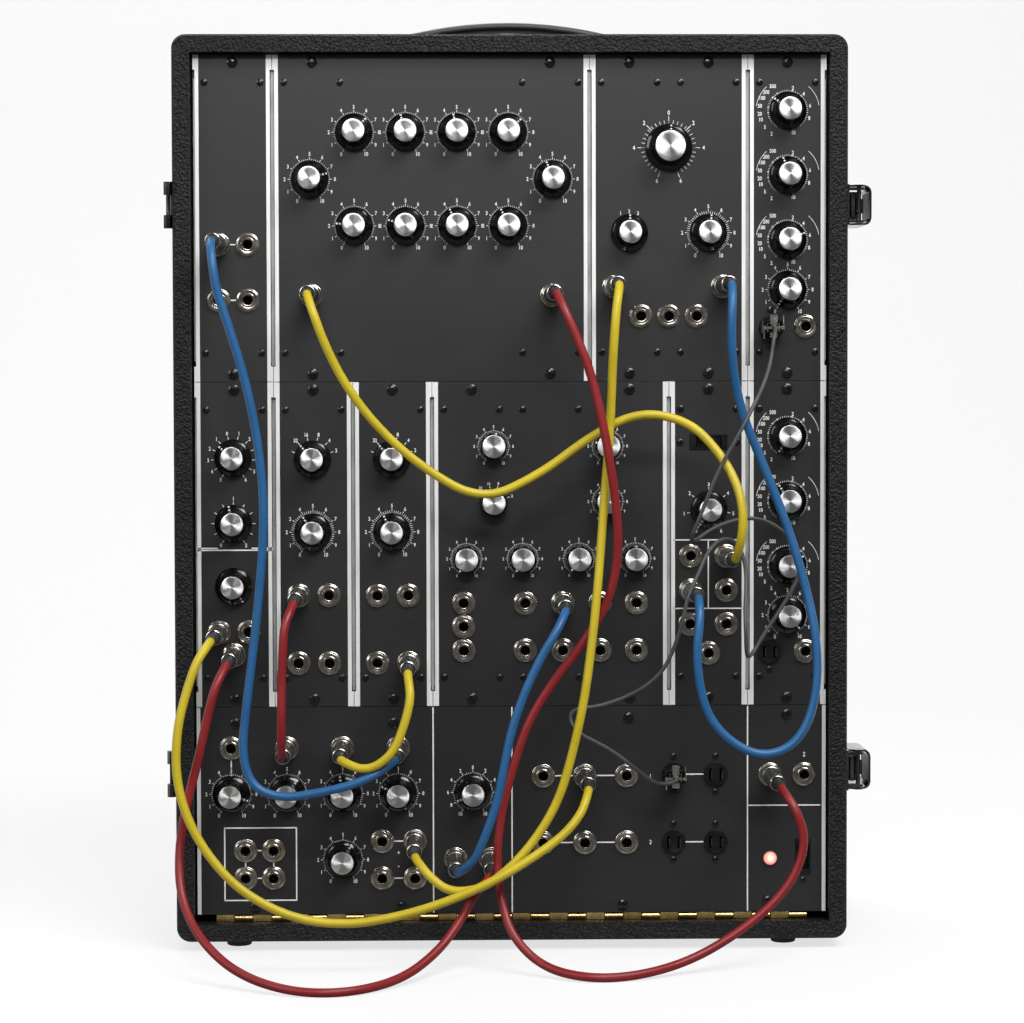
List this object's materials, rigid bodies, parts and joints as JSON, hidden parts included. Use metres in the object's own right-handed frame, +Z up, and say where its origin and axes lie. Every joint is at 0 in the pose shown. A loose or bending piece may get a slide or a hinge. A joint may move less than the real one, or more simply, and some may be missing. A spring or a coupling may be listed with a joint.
{
  "type": "modular synthesizer",
  "caption": "Portable modular synthesizer: module panels with knobs, jacks and switches in a table-top case with a carrying handle, patched with hanging cords.",
  "frame": {"origin": "On the table, at the middle of the box that the case, its fittings and its knobs fill, without the cords and plugs.", "axes": "+X to the player's right, +Y to the back, +Z up; the panels face -Y."},
  "size_m": [0.4822, 0.3942, 0.6454],
  "materials": {
    "vinyl_covering": "black pebble-grained vinyl covering, low sheen",
    "foot_rubber": "matt black rubber",
    "strap_vinyl": "smooth dark grey moulded strap, satin",
    "nickel_fittings": "bright nickel plate with fine wear",
    "chassis_metal": "plain zinc-grey steel",
    "panel_black": "satin black anodised plate with fine brushing and white screen print",
    "jack_nickel": "warm nickel plate, slightly tarnished",
    "socket_moulding": "black phenolic moulding, half gloss",
    "lamp_lens": "amber-pink moulded lens, lit from inside",
    "hinge_brass": "plain brass with soft wear",
    "plug_nickel": "nickel-plated plug handles, knurled and scuffed",
    "cord_jackets": "soft blue, yellow and red cord jackets",
    "thin_cord_jacket": "matt grey cord jacket",
    "slider_moulding": "ribbed black moulding",
    "knob_black": "gloss black phenolic with a spun aluminium inlay"
  },
  "bodies": {
    "cabinet": {"cabinet_shell": "vinyl_covering", "rubber_feet": "foot_rubber", "carry_handle": "strap_vinyl", "metal_fittings": "nickel_fittings", "chassis_and_boards": "chassis_metal", "front_panels": "panel_black", "jack_sockets": "jack_nickel", "moulded_sockets": "socket_moulding", "pilot_lamp": "lamp_lens", "piano_hinge": "hinge_brass", "patch_plugs": "plug_nickel", "patch_cords": "cord_jackets", "trigger_cord": "thin_cord_jacket"},
    "bank_band_1_knob": {"bank_band_1_knob": "knob_black"},
    "bank_band_2_knob": {"bank_band_2_knob": "knob_black"},
    "bank_band_3_knob": {"bank_band_3_knob": "knob_black"},
    "bank_band_4_knob": {"bank_band_4_knob": "knob_black"},
    "bank_band_5_knob": {"bank_band_5_knob": "knob_black"},
    "bank_band_6_knob": {"bank_band_6_knob": "knob_black"},
    "bank_band_7_knob": {"bank_band_7_knob": "knob_black"},
    "bank_band_8_knob": {"bank_band_8_knob": "knob_black"},
    "bank_lowest_knob": {"bank_lowest_knob": "knob_black"},
    "bank_highest_knob": {"bank_highest_knob": "knob_black"},
    "low_pass_cutoff_knob": {"low_pass_cutoff_knob": "knob_black"},
    "low_pass_range_knob": {"low_pass_range_knob": "knob_black"},
    "low_pass_feedback_knob": {"low_pass_feedback_knob": "knob_black"},
    "envelope_1_attack_knob": {"envelope_1_attack_knob": "knob_black"},
    "envelope_1_decay_knob": {"envelope_1_decay_knob": "knob_black"},
    "envelope_1_release_knob": {"envelope_1_release_knob": "knob_black"},
    "envelope_1_sustain_knob": {"envelope_1_sustain_knob": "knob_black"},
    "driver_scale_knob": {"driver_scale_knob": "knob_black"},
    "driver_frequency_knob": {"driver_frequency_knob": "knob_black"},
    "driver_width_knob": {"driver_width_knob": "knob_black"},
    "oscillator_1_frequency_knob": {"oscillator_1_frequency_knob": "knob_black"},
    "oscillator_1_range_knob": {"oscillator_1_range_knob": "knob_black"},
    "oscillator_2_frequency_knob": {"oscillator_2_frequency_knob": "knob_black"},
    "oscillator_2_range_knob": {"oscillator_2_range_knob": "knob_black"},
    "voltage_oscillator_frequency_knob": {"voltage_oscillator_frequency_knob": "knob_black"},
    "voltage_oscillator_range_knob": {"voltage_oscillator_range_knob": "knob_black"},
    "voltage_oscillator_width_knob": {"voltage_oscillator_width_knob": "knob_black"},
    "voltage_oscillator_depth_knob": {"voltage_oscillator_depth_knob": "knob_black"},
    "voltage_oscillator_level_1_knob": {"voltage_oscillator_level_1_knob": "knob_black"},
    "voltage_oscillator_level_2_knob": {"voltage_oscillator_level_2_knob": "knob_black"},
    "voltage_oscillator_level_3_knob": {"voltage_oscillator_level_3_knob": "knob_black"},
    "voltage_oscillator_level_4_knob": {"voltage_oscillator_level_4_knob": "knob_black"},
    "amplifier_gain_knob": {"amplifier_gain_knob": "knob_black"},
    "envelope_2_attack_knob": {"envelope_2_attack_knob": "knob_black"},
    "envelope_2_decay_knob": {"envelope_2_decay_knob": "knob_black"},
    "envelope_2_release_knob": {"envelope_2_release_knob": "knob_black"},
    "envelope_2_sustain_knob": {"envelope_2_sustain_knob": "knob_black"},
    "mixer_1_knob": {"mixer_1_knob": "knob_black"},
    "mixer_2_knob": {"mixer_2_knob": "knob_black"},
    "mixer_3_knob": {"mixer_3_knob": "knob_black"},
    "mixer_4_knob": {"mixer_4_knob": "knob_black"},
    "mixer_master_knob": {"mixer_master_knob": "knob_black"},
    "attenuator_knob": {"attenuator_knob": "knob_black"},
    "mode_slider": {"mode_slider": "slider_moulding"},
    "power_slider": {"power_slider": "slider_moulding"},
    "upper_latch_lever": {"upper_latch_lever": "nickel_fittings"},
    "lower_latch_lever": {"lower_latch_lever": "nickel_fittings"}
  },
  "joints": [
    {"name": "bank_band_1_turn", "type": "hinge", "parent": "cabinet", "child": "bank_band_1_knob", "pos_m": [-0.11227, -0.1035, 0.55863], "axis": [0, 1, 0], "range_deg": [-192, 108]},
    {"name": "bank_band_2_turn", "type": "hinge", "parent": "cabinet", "child": "bank_band_2_knob", "pos_m": [-0.07727, -0.1035, 0.55863], "axis": [0, 1, 0], "range_deg": [-135, 165]},
    {"name": "bank_band_3_turn", "type": "hinge", "parent": "cabinet", "child": "bank_band_3_knob", "pos_m": [-0.04228, -0.1035, 0.55863], "axis": [0, 1, 0], "range_deg": [-139, 161]},
    {"name": "bank_band_4_turn", "type": "hinge", "parent": "cabinet", "child": "bank_band_4_knob", "pos_m": [-0.00728, -0.1035, 0.55863], "axis": [0, 1, 0], "range_deg": [-195, 105]},
    {"name": "bank_band_5_turn", "type": "hinge", "parent": "cabinet", "child": "bank_band_5_knob", "pos_m": [-0.11227, -0.1035, 0.49512], "axis": [0, 1, 0], "range_deg": [-67, 233]},
    {"name": "bank_band_6_turn", "type": "hinge", "parent": "cabinet", "child": "bank_band_6_knob", "pos_m": [-0.07727, -0.1035, 0.49512], "axis": [0, 1, 0], "range_deg": [-78, 222]},
    {"name": "bank_band_7_turn", "type": "hinge", "parent": "cabinet", "child": "bank_band_7_knob", "pos_m": [-0.04228, -0.1035, 0.49512], "axis": [0, 1, 0], "range_deg": [-126, 174]},
    {"name": "bank_band_8_turn", "type": "hinge", "parent": "cabinet", "child": "bank_band_8_knob", "pos_m": [-0.00728, -0.1035, 0.49512], "axis": [0, 1, 0], "range_deg": [-125, 175]},
    {"name": "bank_lowest_turn", "type": "hinge", "parent": "cabinet", "child": "bank_lowest_knob", "pos_m": [-0.14238, -0.1035, 0.52682], "axis": [0, 1, 0], "range_deg": [-222, 78]},
    {"name": "bank_highest_turn", "type": "hinge", "parent": "cabinet", "child": "bank_highest_knob", "pos_m": [0.02283, -0.1035, 0.52682], "axis": [0, 1, 0], "range_deg": [-130, 170]},
    {"name": "low_pass_cutoff_turn", "type": "hinge", "parent": "cabinet", "child": "low_pass_cutoff_knob", "pos_m": [0.10215, -0.1035, 0.54802], "axis": [0, 1, 0], "range_deg": [-166, 154]},
    {"name": "low_pass_range_turn", "type": "hinge", "parent": "cabinet", "child": "low_pass_range_knob", "pos_m": [0.07515, -0.1035, 0.49023], "axis": [0, 1, 0], "range_deg": [-22, 18]},
    {"name": "low_pass_feedback_turn", "type": "hinge", "parent": "cabinet", "child": "low_pass_feedback_knob", "pos_m": [0.12915, -0.1035, 0.49023], "axis": [0, 1, 0], "range_deg": [-160, 140]},
    {"name": "envelope_1_attack_turn", "type": "hinge", "parent": "cabinet", "child": "envelope_1_attack_knob", "pos_m": [0.18341, -0.1035, 0.57332], "axis": [0, 1, 0], "range_deg": [-100, 200]},
    {"name": "envelope_1_decay_turn", "type": "hinge", "parent": "cabinet", "child": "envelope_1_decay_knob", "pos_m": [0.18341, -0.1035, 0.52943], "axis": [0, 1, 0], "range_deg": [-134, 166]},
    {"name": "envelope_1_release_turn", "type": "hinge", "parent": "cabinet", "child": "envelope_1_release_knob", "pos_m": [0.18341, -0.1035, 0.48533], "axis": [0, 1, 0], "range_deg": [-218, 82]},
    {"name": "envelope_1_sustain_turn", "type": "hinge", "parent": "cabinet", "child": "envelope_1_sustain_knob", "pos_m": [0.18341, -0.1035, 0.45143], "axis": [0, 1, 0], "range_deg": [-2, 298]},
    {"name": "driver_scale_turn", "type": "hinge", "parent": "cabinet", "child": "driver_scale_knob", "pos_m": [-0.19551, -0.1035, 0.33737], "axis": [0, 1, 0], "range_deg": [-99, 201]},
    {"name": "driver_frequency_turn", "type": "hinge", "parent": "cabinet", "child": "driver_frequency_knob", "pos_m": [-0.19551, -0.1035, 0.29257], "axis": [0, 1, 0], "range_deg": [-135, 165]},
    {"name": "driver_width_turn", "type": "hinge", "parent": "cabinet", "child": "driver_width_knob", "pos_m": [-0.19551, -0.1035, 0.24968], "axis": [0, 1, 0], "range_deg": [-300, 0]},
    {"name": "oscillator_1_frequency_turn", "type": "hinge", "parent": "cabinet", "child": "oscillator_1_frequency_knob", "pos_m": [-0.14134, -0.1035, 0.33648], "axis": [0, 1, 0], "range_deg": [-108, 192]},
    {"name": "oscillator_1_range_turn", "type": "hinge", "parent": "cabinet", "child": "oscillator_1_range_knob", "pos_m": [-0.14134, -0.1035, 0.28658], "axis": [0, 1, 0], "range_deg": [-42, 108]},
    {"name": "oscillator_2_frequency_turn", "type": "hinge", "parent": "cabinet", "child": "oscillator_2_frequency_knob", "pos_m": [-0.08736, -0.1035, 0.33648], "axis": [0, 1, 0], "range_deg": [-107, 193]},
    {"name": "oscillator_2_range_turn", "type": "hinge", "parent": "cabinet", "child": "oscillator_2_range_knob", "pos_m": [-0.08736, -0.1035, 0.28658], "axis": [0, 1, 0], "range_deg": [-48, 102]},
    {"name": "voltage_oscillator_frequency_turn", "type": "hinge", "parent": "cabinet", "child": "voltage_oscillator_frequency_knob", "pos_m": [-0.01781, -0.1035, 0.34487], "axis": [0, 1, 0], "range_deg": [-160, 140]},
    {"name": "voltage_oscillator_range_turn", "type": "hinge", "parent": "cabinet", "child": "voltage_oscillator_range_knob", "pos_m": [-0.01781, -0.1035, 0.30638], "axis": [0, 1, 0], "range_deg": [-75, 75]},
    {"name": "voltage_oscillator_width_turn", "type": "hinge", "parent": "cabinet", "child": "voltage_oscillator_width_knob", "pos_m": [0.06019, -0.1035, 0.34487], "axis": [0, 1, 0], "range_deg": [-77, 223]},
    {"name": "voltage_oscillator_depth_turn", "type": "hinge", "parent": "cabinet", "child": "voltage_oscillator_depth_knob", "pos_m": [0.06019, -0.1035, 0.30688], "axis": [0, 1, 0], "range_deg": [-105, 195]},
    {"name": "voltage_oscillator_level_1_turn", "type": "hinge", "parent": "cabinet", "child": "voltage_oscillator_level_1_knob", "pos_m": [-0.03656, -0.1035, 0.26787], "axis": [0, 1, 0], "range_deg": [0, 300]},
    {"name": "voltage_oscillator_level_2_turn", "type": "hinge", "parent": "cabinet", "child": "voltage_oscillator_level_2_knob", "pos_m": [0.00194, -0.1035, 0.26787], "axis": [0, 1, 0], "range_deg": [0, 300]},
    {"name": "voltage_oscillator_level_3_turn", "type": "hinge", "parent": "cabinet", "child": "voltage_oscillator_level_3_knob", "pos_m": [0.04044, -0.1035, 0.26787], "axis": [0, 1, 0], "range_deg": [-7, 293]},
    {"name": "voltage_oscillator_level_4_turn", "type": "hinge", "parent": "cabinet", "child": "voltage_oscillator_level_4_knob", "pos_m": [0.07894, -0.1035, 0.26787], "axis": [0, 1, 0], "range_deg": [-150, 150]},
    {"name": "amplifier_gain_turn", "type": "hinge", "parent": "cabinet", "child": "amplifier_gain_knob", "pos_m": [0.12944, -0.1035, 0.30138], "axis": [0, 1, 0], "range_deg": [0, 300]},
    {"name": "envelope_2_attack_turn", "type": "hinge", "parent": "cabinet", "child": "envelope_2_attack_knob", "pos_m": [0.18351, -0.1035, 0.35128], "axis": [0, 1, 0], "range_deg": [0, 300]},
    {"name": "envelope_2_decay_turn", "type": "hinge", "parent": "cabinet", "child": "envelope_2_decay_knob", "pos_m": [0.18351, -0.1035, 0.30707], "axis": [0, 1, 0], "range_deg": [-120, 180]},
    {"name": "envelope_2_release_turn", "type": "hinge", "parent": "cabinet", "child": "envelope_2_release_knob", "pos_m": [0.18351, -0.1035, 0.26288], "axis": [0, 1, 0], "range_deg": [-210, 90]},
    {"name": "envelope_2_sustain_turn", "type": "hinge", "parent": "cabinet", "child": "envelope_2_sustain_knob", "pos_m": [0.18351, -0.1035, 0.22867], "axis": [0, 1, 0], "range_deg": [-290, 10]},
    {"name": "mixer_1_turn", "type": "hinge", "parent": "cabinet", "child": "mixer_1_knob", "pos_m": [-0.198, -0.1035, 0.1071], "axis": [0, 1, 0], "range_deg": [-261, 39]},
    {"name": "mixer_2_turn", "type": "hinge", "parent": "cabinet", "child": "mixer_2_knob", "pos_m": [-0.1599, -0.1035, 0.1071], "axis": [0, 1, 0], "range_deg": [-187, 113]},
    {"name": "mixer_3_turn", "type": "hinge", "parent": "cabinet", "child": "mixer_3_knob", "pos_m": [-0.1218, -0.1035, 0.1071], "axis": [0, 1, 0], "range_deg": [-141, 159]},
    {"name": "mixer_4_turn", "type": "hinge", "parent": "cabinet", "child": "mixer_4_knob", "pos_m": [-0.0837, -0.1035, 0.1071], "axis": [0, 1, 0], "range_deg": [-83, 217]},
    {"name": "mixer_master_turn", "type": "hinge", "parent": "cabinet", "child": "mixer_master_knob", "pos_m": [-0.1218, -0.1035, 0.0616], "axis": [0, 1, 0], "range_deg": [-179, 121]},
    {"name": "attenuator_turn", "type": "hinge", "parent": "cabinet", "child": "attenuator_knob", "pos_m": [-0.0326, -0.1035, 0.1076], "axis": [0, 1, 0], "range_deg": [-31, 269]},
    {"name": "mode_switch_slide", "type": "slide", "parent": "cabinet", "child": "mode_slider", "axis": [1, 0, 0], "range_m": [-0.008, 0]},
    {"name": "power_switch_slide", "type": "slide", "parent": "cabinet", "child": "power_slider", "axis": [0, 0, 1], "range_m": [-0.0072, 0]},
    {"name": "upper_latch_swing", "type": "hinge", "parent": "cabinet", "child": "upper_latch_lever", "pos_m": [0.23245, -0.1015, 0.50897], "axis": [0, 0, -1], "range_deg": [0, 110]},
    {"name": "lower_latch_swing", "type": "hinge", "parent": "cabinet", "child": "lower_latch_lever", "pos_m": [0.23245, -0.1015, 0.122], "axis": [0, 0, -1], "range_deg": [0, 110]}
  ]
}
